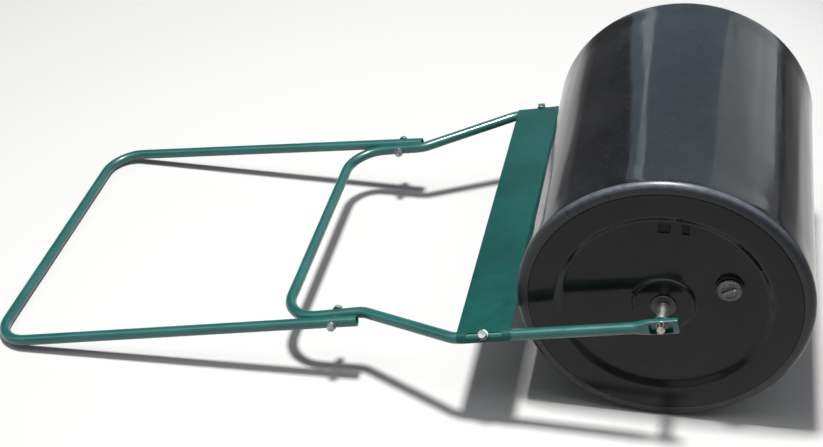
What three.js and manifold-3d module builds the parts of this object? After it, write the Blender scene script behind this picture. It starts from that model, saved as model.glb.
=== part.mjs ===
// Lawn roller: a water-filled drum on a plain axle, a bent-tube lower frame with a scraper plate,
// and a folding tube handle that rests on the ground. Millimetres, +Z up, drum axis along Y,
// origin on the ground under the middle of the whole machine.
import * as THREE from "three";
import { mergeVertices } from "three/addons/utils/BufferGeometryUtils.js";
import Module from "manifold-3d";

const wasm = await Module();
wasm.setup();

// ---- Driving dimensions ----
const GAP = 0.3;
const ROUND = 20;
const TUBE_SIDES = 16;
const DEG = Math.PI / 180;
const SIDES = [
  { label: "near", sign: -1 },
  { label: "far", sign: 1 },
];

// Drum
const DRUM_RADIUS = 230;
const DRUM_HALF_WIDTH = 288;
const DRUM_WALL = 5;
const RIM_FILLET = 12;
const RIM_LIP = 6;
const DRUM_FACETS = 48;
const PANEL_RADIUS = 164;
const PANEL_Y = 278;
const BOSS_RADIUS = 50;
const BOSS_HEIGHT = 6;
const SLEEVE_RADIUS = 14;
const SLEEVE_BORE = 12.4;

// Filler neck and plug, on the near end of the drum
const NECK_X = 97;
const NECK_Z = 44;
const NECK_RADIUS = 22;
const NECK_HEIGHT = 5;
const NECK_DEPTH = 10;
const NECK_HOLE = 14.8;
const PLUG_RADIUS = 14.4;
const PLUG_LENGTH = 20;
const CAP_RADIUS = 19;
const CAP_HEIGHT = 7;
const GRIP_LENGTH = 28;
const GRIP_WIDTH = 6;
const GRIP_HEIGHT = 5;
const GRIP_TURN = 34 * DEG;
const SEAL_THICKNESS = 1.6;
const MARK_HEIGHT = 144;
const MARK_SIZE = 18;
const MARK_DEPTH = 1.5;
const MARKS = [
  { x: -8, width: 19 },
  { x: 24, width: 12 },
];

// Axle
const AXLE_RADIUS = 6.5;
const AXLE_HALF_LENGTH = 346;
const AXLE_CHAMFER = 1.2;
const PIN_Y = 342;
const PIN_HOLE = 2;
const PIN_WIRE = 0.8;
const PIN_SIDES = 8;
const PIN_SPREAD = 1.9;
const PIN_EYE = 3.4;
const PIN_DROP = 9.5;
const PIN_TIP = 4;
const PIN_RISE = 1.5;
const PIN_NECK = 2;
const PIN_BENDS = [1, 1.2, 1.5, 2.4, 2.4, 1.5, 1.2, 1];
const BUSH_BORE = 6.6;
const BUSH_FLANGE = 20;
const BUSH_FLANGE_THICKNESS = 3;
const BUSH_LENGTH = 26;
const SPACER_RADIUS = 9;
const SPACER_BORE = 6.8;
const AXLE_WASHER_RADIUS = 14;
const AXLE_WASHER_THICKNESS = 2;
const SMALL_WASHER_RADIUS = 8.4;
const SMALL_WASHER_THICKNESS = 1.4;

// Lower frame: a U of round tube, its arms joggled outward past the drum and flattened at the axle
const TUBE_RADIUS = 9.5;
const TUBE_WALL = 1.5;
const FRAME_TILT = 11.84 * DEG;
const PIVOT_DISTANCE = 553.5;
const ARM_Y = 335;
const ARM_FRONT = 27;
const KNEE_X = -331;
const KNEE_BEND = 40;
const JOGGLE_X = -505;
const LOWER_PIVOT_Y = 255.2;
const CROSSBAR_X = -651;
const CROSSBAR_BEND = 62;
const LEG_TAPER = 0.0441;
const ARM_SOLID_X = -44;
const PRESS_START = -42;
const PRESS_END = -15;
const PRESS_THIN = 0.38;
const PRESS_TALL = 0.38;
const POCKET_BACK = -17;
const POCKET_FRONT = 17;
const POCKET_HALF_HEIGHT = 9.6;
const POCKET_FLOOR = -1.6;
const POCKET_CORNER = 4;
const PRESS_STEPS = 12;
const AXLE_HOLE = 6.9;

// Handle: a second U of the same tube, bolted outside the lower frame's legs
const HANDLE_PIVOT_Y = 275;
const HANDLE_LENGTH = 638.8;
const HANDLE_TAIL = 42;
const HANDLE_BEND = 60;

// Scraper plate
const PLATE_BACK = -323.5;
const PLATE_FRONT = -234;
const PLATE_THICKNESS = 1.5;
const PLATE_WRAP = 112 * DEG;
const WRAP_STEPS = 8;
const SLOT_LENGTH = 60;
const SCRAPER_BOLT_TILT = 38 * DEG;

// Bolts, washers and nuts
const BOLT_RADIUS = 4;
const BOLT_HOLE = 4.3;
const HEX_RADIUS = 7.5;
const HEAD_HEIGHT = 5.3;
const NUT_HEIGHT = 6.5;
const BOLT_END = 3.5;
const WASHER_RADIUS = 8.5;
const WASHER_THICKNESS = 1.6;
const TUBE_SEAT = 0.5;

// ---- Derived placement ----
const AXLE_HEIGHT = DRUM_RADIUS;
const PIVOT_HEIGHT = AXLE_HEIGHT - PIVOT_DISTANCE * Math.sin(FRAME_TILT);
const HANDLE_TILT = Math.asin((PIVOT_HEIGHT - TUBE_RADIUS) / HANDLE_LENGTH);
const PIVOT_REACH = PIVOT_DISTANCE * Math.cos(FRAME_TILT);
const BACK_REACH = PIVOT_REACH + HANDLE_LENGTH * Math.cos(HANDLE_TILT) + TUBE_RADIUS;
const AXLE_X = (BACK_REACH - DRUM_RADIUS) / 2;

// ---- Materials ----
const paint = new THREE.MeshStandardMaterial({ color: 0x1b625d, roughness: 0.42, metalness: 0.1 });
const blackPlastic = new THREE.MeshStandardMaterial({ color: 0x131416, roughness: 0.25 });
const nylon = new THREE.MeshStandardMaterial({ color: 0x1c1d1e, roughness: 0.55 });
const rubber = new THREE.MeshStandardMaterial({ color: 0x0e0e0f, roughness: 0.85 });
const zinc = new THREE.MeshStandardMaterial({ color: 0xc9cccf, roughness: 0.35, metalness: 1 });
const steel = new THREE.MeshStandardMaterial({ color: 0x8b8782, roughness: 0.4, metalness: 1 });

// ---- Solids ----
function solid(geometry) {
  const plain = geometry.clone();
  plain.deleteAttribute("normal");
  plain.deleteAttribute("uv");
  const merged = mergeVertices(plain, 1e-4);
  return new wasm.Manifold(new wasm.Mesh({
    numProp: 3,
    vertProperties: new Float32Array(merged.attributes.position.array),
    triVerts: new Uint32Array(merged.index.array),
  }));
}

function geometryOf(manifold) {
  const mesh = manifold.getMesh();
  const geometry = new THREE.BufferGeometry();
  geometry.setAttribute("position", new THREE.BufferAttribute(mesh.vertProperties, 3));
  geometry.setIndex(new THREE.BufferAttribute(mesh.triVerts, 1));
  geometry.computeVertexNormals();
  return geometry;
}

// A ring or disc of revolution about Y from a closed profile of [radius, y] pairs.
function turned(profile, facets = ROUND) {
  const points = [...profile, profile[0]].map(([radius, y]) => new THREE.Vector2(radius, y));
  return new THREE.LatheGeometry(points, facets);
}

function tubeAboutY(outer, inner, low, high, facets = ROUND) {
  return turned([[inner, low], [outer, low], [outer, high], [inner, high]], facets);
}

function rodAlongY(radius, low, high, facets = ROUND) {
  const rod = new THREE.CylinderGeometry(radius, radius, high - low, facets);
  return rod.translate(0, (low + high) / 2, 0);
}

function circlePoints(radius, count) {
  const points = [];
  for (let i = 0; i < count; i += 1) {
    const angle = (i / count) * 2 * Math.PI;
    points.push(new THREE.Vector2(radius * Math.cos(angle), radius * Math.sin(angle)));
  }
  return points;
}

// A route through straight runs and round bends, with a station only where the tube turns.
class BentRoute extends THREE.Curve {
  constructor(corners, bends, stepsPerBend) {
    super();
    this.stations = [];
    this.directions = [];
    const last = corners.length - 1;
    const heading = (i) => corners[i + 1].clone().sub(corners[i]).normalize();
    this.addStation(corners[0], heading(0));
    for (let i = 1; i < last; i += 1) {
      this.addBend(corners[i], heading(i - 1), heading(i), bends[i - 1], stepsPerBend);
    }
    this.addStation(corners[last], heading(last - 1));
  }

  addStation(point, direction) {
    this.stations.push(point.clone());
    this.directions.push(direction.clone());
  }

  addBend(corner, before, after, radius, steps) {
    const turn = before.angleTo(after);
    const start = corner.clone().addScaledVector(before, -radius * Math.tan(turn / 2));
    const inward = after.clone().addScaledVector(before, -Math.cos(turn)).normalize();
    for (let k = 0; k <= steps; k += 1) {
      const angle = (turn * k) / steps;
      const point = start.clone().addScaledVector(before, radius * Math.sin(angle));
      point.addScaledVector(inward, radius * (1 - Math.cos(angle)));
      const direction = before.clone().multiplyScalar(Math.cos(angle));
      this.addStation(point, direction.addScaledVector(inward, Math.sin(angle)));
    }
  }

  at(list, t) {
    const place = t * (list.length - 1);
    const first = Math.min(Math.floor(place + 1e-6), list.length - 2);
    return list[first].clone().lerp(list[first + 1], place - first);
  }

  getPoint(t, target = new THREE.Vector3()) {
    return target.copy(this.at(this.stations, t));
  }

  getTangent(t, target = new THREE.Vector3()) {
    return target.copy(this.at(this.directions, t)).normalize();
  }

  getUtoTmapping(u) {
    return u;
  }
}

function sweep(route, radius, bore, sides) {
  const section = new THREE.Shape(circlePoints(radius, sides));
  if (bore > 0) {
    section.holes.push(new THREE.Path(circlePoints(bore, sides)));
  }
  const steps = route.stations.length - 1;
  return new THREE.ExtrudeGeometry(section, { steps, extrudePath: route, bevelEnabled: false });
}

function node(parent, name, geometry, material) {
  const mesh = new THREE.Mesh(geometry, material);
  mesh.name = name;
  parent.add(mesh);
  return mesh;
}

// Turns a shape drawn in Y and Z, extruded along +X.
const ALONG_X = new THREE.Matrix4().makeBasis(
  new THREE.Vector3(0, 1, 0),
  new THREE.Vector3(0, 0, 1),
  new THREE.Vector3(1, 0, 0),
);

// ---- Groups ----
const roller = new THREE.Group();
const axleGroup = new THREE.Group();
axleGroup.position.set(AXLE_X, 0, AXLE_HEIGHT);
const frameGroup = new THREE.Group();
frameGroup.position.copy(axleGroup.position);
frameGroup.rotation.y = -FRAME_TILT;
const handleGroup = new THREE.Group();
handleGroup.position.set(AXLE_X - PIVOT_REACH, 0, PIVOT_HEIGHT);
handleGroup.rotation.y = -HANDLE_TILT;
roller.add(axleGroup, frameGroup, handleGroup);

// ---- Drum ----
function arc(centreRadius, centreY, radius, from, to, steps) {
  const points = [];
  for (let k = 0; k <= steps; k += 1) {
    const angle = (from + ((to - from) * k) / steps) * DEG;
    points.push([centreRadius + radius * Math.cos(angle), centreY + radius * Math.sin(angle)]);
  }
  return points;
}

function barrelGeometry() {
  const filletRadius = DRUM_RADIUS - RIM_FILLET;
  const filletY = DRUM_HALF_WIDTH - RIM_FILLET;
  const lip = filletRadius - RIM_LIP;
  const inner = RIM_FILLET - DRUM_WALL;
  return turned([
    [lip, -DRUM_HALF_WIDTH],
    ...arc(filletRadius, -filletY, RIM_FILLET, -90, 0, 5),
    ...arc(filletRadius, filletY, RIM_FILLET, 0, 90, 5),
    [lip, DRUM_HALF_WIDTH],
    [lip, DRUM_HALF_WIDTH - DRUM_WALL],
    ...arc(filletRadius, filletY, inner, 90, 0, 3),
    ...arc(filletRadius, -filletY, inner, 0, -90, 3),
    [lip, -DRUM_HALF_WIDTH + DRUM_WALL],
  ], DRUM_FACETS);
}

// An end: a flat outer ring, a step down to a flat panel, and a raised boss round the sleeve.
function endGeometry(sign) {
  const outer = DRUM_RADIUS - RIM_FILLET - RIM_LIP - GAP;
  const bore = SLEEVE_RADIUS + GAP;
  const bossY = PANEL_Y + BOSS_HEIGHT;
  const face = [
    [outer, DRUM_HALF_WIDTH],
    [PANEL_RADIUS + 9, DRUM_HALF_WIDTH - 1],
    [PANEL_RADIUS + 4, DRUM_HALF_WIDTH - 2.6],
    [PANEL_RADIUS - 3, PANEL_Y + 1.2],
    [PANEL_RADIUS - 7, PANEL_Y],
    [BOSS_RADIUS + 3, PANEL_Y],
    [BOSS_RADIUS, PANEL_Y + 1.5],
    [BOSS_RADIUS - 3, bossY - 1.5],
    [BOSS_RADIUS - 6, bossY],
    [bore, bossY],
    [bore, PANEL_Y - DRUM_WALL],
    [PANEL_RADIUS - 5, PANEL_Y - DRUM_WALL],
    [PANEL_RADIUS + 5, DRUM_HALF_WIDTH - DRUM_WALL - 2],
    [PANEL_RADIUS + 10, DRUM_HALF_WIDTH - DRUM_WALL - 1],
    [outer, DRUM_HALF_WIDTH - DRUM_WALL],
  ];
  const profile = sign > 0 ? face : face.map(([radius, y]) => [radius, -y]).reverse();
  return turned(profile, DRUM_FACETS);
}

function nearEndGeometry() {
  const neck = rodAlongY(NECK_RADIUS, -PANEL_Y - NECK_HEIGHT, -PANEL_Y + NECK_DEPTH);
  const hole = rodAlongY(NECK_HOLE, -PANEL_Y - 2 * NECK_HEIGHT, -PANEL_Y + 2 * NECK_DEPTH);
  let end = solid(endGeometry(-1)).add(solid(neck.translate(NECK_X, 0, NECK_Z)));
  end = end.subtract(solid(hole.translate(NECK_X, 0, NECK_Z)));
  for (const mark of MARKS) {
    const pocket = new THREE.BoxGeometry(mark.width, 2 * MARK_DEPTH, MARK_SIZE);
    end = end.subtract(solid(pocket.translate(mark.x, -PANEL_Y, MARK_HEIGHT)));
  }
  return geometryOf(end);
}

const bossFace = PANEL_Y + BOSS_HEIGHT;
node(axleGroup, "drum_barrel", barrelGeometry(), blackPlastic);
node(axleGroup, "drum_end_near", nearEndGeometry(), blackPlastic);
node(axleGroup, "drum_end_far", endGeometry(1), blackPlastic);
const sleeve = tubeAboutY(SLEEVE_RADIUS, SLEEVE_BORE, -bossFace, bossFace);
node(axleGroup, "axle_sleeve", sleeve, steel);

// Flanged bushes pressed into the sleeve from each side.
const flangeFace = bossFace + GAP + BUSH_FLANGE_THICKNESS;
for (const { label, sign } of SIDES) {
  const profile = [
    [BUSH_BORE, bossFace - BUSH_LENGTH],
    [SLEEVE_BORE - GAP, bossFace - BUSH_LENGTH],
    [SLEEVE_BORE - GAP, bossFace + GAP],
    [BUSH_FLANGE, bossFace + GAP],
    [BUSH_FLANGE, flangeFace - 1],
    [BUSH_FLANGE - 1, flangeFace],
    [BUSH_BORE, flangeFace],
  ];
  const placed = sign > 0 ? profile : profile.map(([radius, y]) => [radius, -y]).reverse();
  node(axleGroup, `hub_bush_${label}`, turned(placed), nylon);
}

// ---- Filler plug ----
function plugGeometry() {
  const underCap = -PANEL_Y - NECK_HEIGHT - SEAL_THICKNESS - 2 * GAP;
  const top = underCap - CAP_HEIGHT;
  const spigot = rodAlongY(PLUG_RADIUS, underCap - 1, underCap + PLUG_LENGTH);
  const cap = turned([
    [0, top],
    [CAP_RADIUS - 2, top],
    [CAP_RADIUS, top + 2],
    [CAP_RADIUS, underCap],
    [0, underCap],
  ]);
  const grip = new THREE.BoxGeometry(GRIP_LENGTH, GRIP_HEIGHT + 2, GRIP_WIDTH);
  grip.rotateY(-GRIP_TURN);
  grip.translate(0, top - GRIP_HEIGHT / 2 + 1, 0);
  const plug = solid(spigot).add(solid(cap)).add(solid(grip));
  return geometryOf(plug).translate(NECK_X, 0, NECK_Z);
}

const sealLow = -PANEL_Y - NECK_HEIGHT - SEAL_THICKNESS - GAP;
const seal = tubeAboutY(CAP_RADIUS - 1, PLUG_RADIUS + GAP, sealLow, sealLow + SEAL_THICKNESS);
node(axleGroup, "fill_plug", plugGeometry(), nylon);
node(axleGroup, "plug_seal", seal.translate(NECK_X, 0, NECK_Z), rubber);

// ---- Axle, spacers, washers and split pins ----
function axleGeometry() {
  const end = AXLE_HALF_LENGTH;
  let rod = solid(turned([
    [0, -end],
    [AXLE_RADIUS - AXLE_CHAMFER, -end],
    [AXLE_RADIUS, -end + AXLE_CHAMFER],
    [AXLE_RADIUS, end - AXLE_CHAMFER],
    [AXLE_RADIUS - AXLE_CHAMFER, end],
    [0, end],
  ]));
  for (const { sign } of SIDES) {
    const hole = new THREE.CylinderGeometry(PIN_HOLE, PIN_HOLE, 4 * AXLE_RADIUS, ROUND / 2);
    hole.rotateX(Math.PI / 2);
    rod = rod.subtract(solid(hole.translate(0, sign * PIN_Y, 0)));
  }
  return geometryOf(rod);
}

// A hairpin of wire: an eye above the axle, two legs down the hole, and tips bent apart.
function splitPinGeometry() {
  const half = PIN_SPREAD / 2;
  const top = AXLE_RADIUS + PIN_RISE;
  const eyeLow = top + PIN_NECK;
  const eyeHigh = eyeLow + 1.6 * PIN_EYE;
  const corners = [
    [-half - PIN_TIP, -PIN_DROP],
    [-half, -PIN_DROP],
    [-half, top],
    [-PIN_EYE, eyeLow],
    [-PIN_EYE, eyeHigh],
    [PIN_EYE, eyeHigh],
    [PIN_EYE, eyeLow],
    [half, top],
    [half, -PIN_DROP],
    [half + PIN_TIP, -PIN_DROP],
  ].map(([x, z]) => new THREE.Vector3(x, 0, z));
  return sweep(new BentRoute(corners, PIN_BENDS, 2), PIN_WIRE, 0, PIN_SIDES);
}

const flatHalf = TUBE_RADIUS * (1 - PRESS_THIN);
const armInnerFace = ARM_Y - flatHalf;
const washerLow = armInnerFace - GAP - AXLE_WASHER_THICKNESS;
const smallWasherLow = ARM_Y + POCKET_FLOOR + GAP;
node(axleGroup, "axle_rod", axleGeometry(), steel);
for (const { label, sign } of SIDES) {
  const place = (low, high) => (sign > 0 ? [low, high] : [-high, -low]);
  const ring = (outer, inner, low, high) => tubeAboutY(outer, inner, ...place(low, high));
  const spacer = ring(SPACER_RADIUS, SPACER_BORE, flangeFace + GAP, washerLow - GAP);
  const washer = ring(AXLE_WASHER_RADIUS, SPACER_BORE, washerLow, armInnerFace - GAP);
  const smallHigh = smallWasherLow + SMALL_WASHER_THICKNESS;
  const smallWasher = ring(SMALL_WASHER_RADIUS, SPACER_BORE, smallWasherLow, smallHigh);
  node(axleGroup, `axle_spacer_${label}`, spacer, zinc);
  node(axleGroup, `axle_washer_${label}`, washer, zinc);
  node(axleGroup, `pin_washer_${label}`, smallWasher, zinc);
  const pin = node(axleGroup, `split_pin_${label}`, splitPinGeometry(), zinc);
  pin.position.set(0, sign * PIN_Y, 0);
}

// ---- Lower frame ----
const taper = (distance) => LOWER_PIVOT_Y - LEG_TAPER * distance;

function lowerRoute() {
  const near = [
    [ARM_SOLID_X, ARM_Y],
    [KNEE_X, ARM_Y],
    [JOGGLE_X, taper(JOGGLE_X + PIVOT_DISTANCE)],
    [CROSSBAR_X, taper(CROSSBAR_X + PIVOT_DISTANCE)],
  ];
  const far = near.map(([x, y]) => new THREE.Vector3(x, y, 0)).reverse();
  const corners = [...near.map(([x, y]) => new THREE.Vector3(x, -y, 0)), ...far];
  const bends = [KNEE_BEND, KNEE_BEND, CROSSBAR_BEND];
  return new BentRoute(corners, [...bends, ...bends.slice().reverse()], 5);
}

// The solid end of an arm: round where it meets the tube, pressed flat and tall at the axle.
function armEnd(sign) {
  const back = new THREE.Vector3(ARM_SOLID_X - 6, 0, 0);
  const route = new THREE.LineCurve3(back, new THREE.Vector3(ARM_FRONT, 0, 0));
  const section = new THREE.Shape(circlePoints(TUBE_RADIUS, TUBE_SIDES));
  const run = { steps: PRESS_STEPS, extrudePath: route, bevelEnabled: false };
  const end = new THREE.ExtrudeGeometry(section, run);
  const place = end.attributes.position;
  for (let i = 0; i < place.count; i += 1) {
    const press = THREE.MathUtils.smoothstep(place.getX(i), PRESS_START, PRESS_END);
    place.setY(i, place.getY(i) * (1 - PRESS_THIN * press));
    place.setZ(i, place.getZ(i) * (1 + PRESS_TALL * press));
  }
  const pocketShape = new THREE.Shape();
  const corner = POCKET_CORNER;
  pocketShape.moveTo(POCKET_BACK + corner, -POCKET_HALF_HEIGHT);
  pocketShape.lineTo(POCKET_FRONT - corner, -POCKET_HALF_HEIGHT);
  pocketShape.lineTo(POCKET_FRONT, -POCKET_HALF_HEIGHT + corner);
  pocketShape.lineTo(POCKET_FRONT, POCKET_HALF_HEIGHT - corner);
  pocketShape.lineTo(POCKET_FRONT - corner, POCKET_HALF_HEIGHT);
  pocketShape.lineTo(POCKET_BACK + corner, POCKET_HALF_HEIGHT);
  pocketShape.lineTo(POCKET_BACK, POCKET_HALF_HEIGHT - corner);
  pocketShape.lineTo(POCKET_BACK, -POCKET_HALF_HEIGHT + corner);
  const depth = 2 * TUBE_RADIUS;
  const pocket = new THREE.ExtrudeGeometry(pocketShape, { depth, bevelEnabled: false });
  pocket.rotateX(Math.PI / 2);
  pocket.translate(0, sign > 0 ? depth + POCKET_FLOOR : -POCKET_FLOOR, 0);
  const shaped = solid(end).subtract(solid(pocket));
  const hole = rodAlongY(AXLE_HOLE, -3 * TUBE_RADIUS, 3 * TUBE_RADIUS);
  return shaped.subtract(solid(hole)).translate([0, sign * ARM_Y, 0]);
}

// A drilling through both walls at a scraper bolt, leaning outward from straight up.
function scraperPlace(geometry, sign) {
  geometry.rotateX(Math.PI / 2);
  geometry.rotateX(-sign * SCRAPER_BOLT_TILT);
  return geometry.translate((PLATE_BACK + PLATE_FRONT) / 2, sign * ARM_Y, 0);
}

function lowerFrameGeometry() {
  let frame = solid(sweep(lowerRoute(), TUBE_RADIUS, TUBE_RADIUS - TUBE_WALL, TUBE_SIDES));
  for (const { sign } of SIDES) {
    const pivot = rodAlongY(BOLT_HOLE, -2 * TUBE_RADIUS, 2 * TUBE_RADIUS, ROUND / 2);
    const drilling = rodAlongY(BOLT_HOLE, -2 * TUBE_RADIUS, 2 * TUBE_RADIUS, ROUND / 2);
    frame = frame.add(armEnd(sign));
    frame = frame.subtract(solid(pivot.translate(-PIVOT_DISTANCE, sign * LOWER_PIVOT_Y, 0)));
    frame = frame.subtract(solid(scraperPlace(drilling, sign)));
  }
  return geometryOf(frame);
}

node(frameGroup, "lower_frame", lowerFrameGeometry(), paint);

// ---- Scraper plate ----
function plateGeometry() {
  const inner = TUBE_RADIUS + GAP;
  const outer = inner + PLATE_THICKNESS;
  const wrap = (sign, radius, from, to) => {
    const points = [];
    for (let k = 0; k <= WRAP_STEPS; k += 1) {
      const angle = from + ((to - from) * k) / WRAP_STEPS;
      const y = sign * (ARM_Y + radius * Math.sin(angle));
      points.push(new THREE.Vector2(y, radius * Math.cos(angle)));
    }
    return points;
  };
  const outline = new THREE.Shape([
    ...wrap(-1, inner, PLATE_WRAP, 0),
    ...wrap(1, inner, 0, PLATE_WRAP),
    ...wrap(1, outer, PLATE_WRAP, 0),
    ...wrap(-1, outer, 0, PLATE_WRAP),
  ]);
  const depth = PLATE_FRONT - PLATE_BACK;
  const sheet = new THREE.ExtrudeGeometry(outline, { depth, bevelEnabled: false });
  let plate = solid(sheet.applyMatrix4(ALONG_X).translate(PLATE_BACK, 0, 0));
  for (const { sign } of SIDES) {
    const run = SLOT_LENGTH - 2 * BOLT_HOLE;
    const slot = new THREE.BoxGeometry(run, 3 * TUBE_RADIUS, 2 * BOLT_HOLE);
    let cut = solid(scraperPlace(slot, sign));
    for (const end of [-run / 2, run / 2]) {
      const round = rodAlongY(BOLT_HOLE, -1.5 * TUBE_RADIUS, 1.5 * TUBE_RADIUS, ROUND / 2);
      cut = cut.add(solid(scraperPlace(round.translate(end, 0, 0), sign)));
    }
    plate = plate.subtract(cut);
  }
  return geometryOf(plate);
}

node(frameGroup, "scraper_plate", plateGeometry(), paint);

// ---- Bolts, washers and nuts ----
function hex(height, base) {
  const prism = new THREE.CylinderGeometry(HEX_RADIUS, HEX_RADIUS, height, 6);
  return prism.translate(0, base + height / 2, 0);
}

// A bolt standing on y = 0 under its head, its shank running to -length.
function boltGeometry(length) {
  const shank = rodAlongY(BOLT_RADIUS, -length, 1, ROUND / 2);
  return geometryOf(solid(shank).add(solid(hex(HEAD_HEIGHT, 0))));
}

function nutGeometry() {
  const bore = rodAlongY(BOLT_HOLE, -1, NUT_HEIGHT + 1, ROUND / 2);
  return geometryOf(solid(hex(NUT_HEIGHT, 0)).subtract(solid(bore)));
}

function washerGeometry() {
  return tubeAboutY(WASHER_RADIUS, BOLT_HOLE, 0, WASHER_THICKNESS);
}

// Adds a bolt, two washers and a nut along a group's own Y, around a grip from low to high.
function fastener(parent, stem, label, low, high) {
  const headSeat = high + WASHER_THICKNESS + 2 * GAP;
  const nutSeat = low - WASHER_THICKNESS - 2 * GAP - NUT_HEIGHT;
  const length = headSeat - nutSeat + BOLT_END;
  node(parent, `${stem}_bolt_${label}`, boltGeometry(length), zinc).position.y = headSeat;
  node(parent, `${stem}_washer_${label}`, washerGeometry(), zinc).position.y = high + GAP;
  const backWasherY = low - GAP - WASHER_THICKNESS;
  node(parent, `${stem}_back_washer_${label}`, washerGeometry(), zinc).position.y = backWasherY;
  node(parent, `${stem}_nut_${label}`, nutGeometry(), zinc).position.y = nutSeat;
}

for (const { label, sign } of SIDES) {
  const pivot = new THREE.Group();
  pivot.position.set(-PIVOT_DISTANCE, 0, 0);
  pivot.rotation.z = sign > 0 ? 0 : Math.PI;
  frameGroup.add(pivot);
  const inside = LOWER_PIVOT_Y - TUBE_RADIUS - TUBE_SEAT;
  const outside = HANDLE_PIVOT_Y + TUBE_RADIUS + TUBE_SEAT;
  fastener(pivot, "handle", label, inside, outside);

  const lean = new THREE.Group();
  lean.position.set((PLATE_BACK + PLATE_FRONT) / 2, sign * ARM_Y, 0);
  lean.rotation.x = Math.PI / 2 - sign * SCRAPER_BOLT_TILT;
  frameGroup.add(lean);
  const plateTop = TUBE_RADIUS + GAP + PLATE_THICKNESS;
  fastener(lean, "scraper", label, -TUBE_RADIUS - GAP, plateTop);
}

// ---- Handle ----
function handleGeometry() {
  const width = (distance) => HANDLE_PIVOT_Y + LEG_TAPER * distance;
  const near = [[HANDLE_TAIL, width(-HANDLE_TAIL)], [-HANDLE_LENGTH, width(HANDLE_LENGTH)]];
  const far = near.map(([x, y]) => new THREE.Vector3(x, y, 0)).reverse();
  const corners = [...near.map(([x, y]) => new THREE.Vector3(x, -y, 0)), ...far];
  const route = new BentRoute(corners, [HANDLE_BEND, HANDLE_BEND], 8);
  let handle = solid(sweep(route, TUBE_RADIUS, TUBE_RADIUS - TUBE_WALL, TUBE_SIDES));
  for (const { sign } of SIDES) {
    const drilling = rodAlongY(BOLT_HOLE, -2 * TUBE_RADIUS, 2 * TUBE_RADIUS, ROUND / 2);
    handle = handle.subtract(solid(drilling.translate(0, sign * HANDLE_PIVOT_Y, 0)));
  }
  return geometryOf(handle);
}

node(handleGroup, "handle_tube", handleGeometry(), paint);

export default roller;
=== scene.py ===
# Lawn roller: the detailed pieces, their materials and the studio round them.
# Metres in the scene; dimensions below are millimetres, turned to metres where a mesh is made.
import math

import bmesh
import bpy
from mathutils import Matrix, Vector, noise


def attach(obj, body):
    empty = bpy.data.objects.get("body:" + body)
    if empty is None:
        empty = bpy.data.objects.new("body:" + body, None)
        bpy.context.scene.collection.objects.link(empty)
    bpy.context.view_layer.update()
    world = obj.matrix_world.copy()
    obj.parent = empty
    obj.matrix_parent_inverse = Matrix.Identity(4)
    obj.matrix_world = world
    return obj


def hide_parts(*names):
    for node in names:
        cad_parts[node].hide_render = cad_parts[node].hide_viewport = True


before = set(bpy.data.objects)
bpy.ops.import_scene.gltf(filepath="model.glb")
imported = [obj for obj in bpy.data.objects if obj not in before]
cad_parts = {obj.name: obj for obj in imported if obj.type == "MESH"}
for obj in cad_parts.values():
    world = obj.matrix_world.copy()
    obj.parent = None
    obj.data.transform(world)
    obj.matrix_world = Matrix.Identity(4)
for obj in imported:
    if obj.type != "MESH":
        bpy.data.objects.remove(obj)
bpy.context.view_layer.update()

MM = 0.001
DEG = math.pi / 180
SIDES = (("near", -1), ("far", 1))

# ---- Dimensions of the object ----
DRUM_RADIUS = 230
DRUM_HALF_WIDTH = 288
DRUM_WALL = 5
RIM_FILLET = 12
RIM_LIP = 6
GAP = 0.3
PANEL_RADIUS = 164
PANEL_Y = 278
BOSS_RADIUS = 50
BOSS_HEIGHT = 6
BOSS_FACE = PANEL_Y + BOSS_HEIGHT
SLEEVE_RADIUS = 14
SLEEVE_BORE = 12.4
NECK_X = 97
NECK_Z = 44
NECK_RADIUS = 22
NECK_HEIGHT = 5
NECK_DEPTH = 10
NECK_HOLE = 14.8
PLUG_RADIUS = 14.4
PLUG_LENGTH = 20
CAP_RADIUS = 19
CAP_HEIGHT = 7
GRIP_LENGTH = 28
GRIP_WIDTH = 6
GRIP_HEIGHT = 5
GRIP_TURN = 34 * DEG
SEAL_THICKNESS = 1.6
MARK_HEIGHT = 144
MARK_SIZE = 18
MARK_DEPTH = 1.5
MARKS = ((-8, 19), (24, 12))
AXLE_RADIUS = 6.5
AXLE_HALF_LENGTH = 346
AXLE_CHAMFER = 1.2
PIN_Y = 342
PIN_HOLE = 2
PIN_WIRE = 0.8
PIN_SPREAD = 1.9
PIN_EYE = 3.4
PIN_DROP = 9.5
PIN_TIP = 4
BUSH_BORE = 6.6
BUSH_FLANGE = 20
BUSH_FLANGE_THICKNESS = 3
BUSH_LENGTH = 26
SPACER_RADIUS = 9
SPACER_BORE = 6.8
AXLE_WASHER_RADIUS = 14
AXLE_WASHER_THICKNESS = 2
SMALL_WASHER_RADIUS = 8.4
SMALL_WASHER_THICKNESS = 1.4
TUBE_RADIUS = 9.5
TUBE_WALL = 1.5
FRAME_TILT = 11.84 * DEG
PIVOT_DISTANCE = 553.5
ARM_Y = 335
ARM_FRONT = 27
KNEE_X = -331
KNEE_BEND = 40
JOGGLE_X = -505
LOWER_PIVOT_Y = 255.2
CROSSBAR_X = -651
CROSSBAR_BEND = 62
LEG_TAPER = 0.0441
PRESS_START = -44
PRESS_END = -15
PRESS_THIN = 0.38
PRESS_TALL = 0.38
POCKET_HALF_LENGTH = 17
POCKET_HALF_HEIGHT = 9.6
POCKET_FLOOR = -1.6
AXLE_HOLE = 6.9
HANDLE_PIVOT_Y = 275
HANDLE_LENGTH = 638.8
HANDLE_TAIL = 42
HANDLE_BEND = 60
PLATE_BACK = -323.5
PLATE_FRONT = -234
PLATE_THICKNESS = 1.5
PLATE_WRAP = 112 * DEG
PLATE_CORNER = 8
SLOT_LENGTH = 60
SCRAPER_BOLT_TILT = 38 * DEG
BOLT_RADIUS = 4
BOLT_HOLE = 4.3
HEX_RADIUS = 7.5
HEAD_HEIGHT = 5.3
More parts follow.
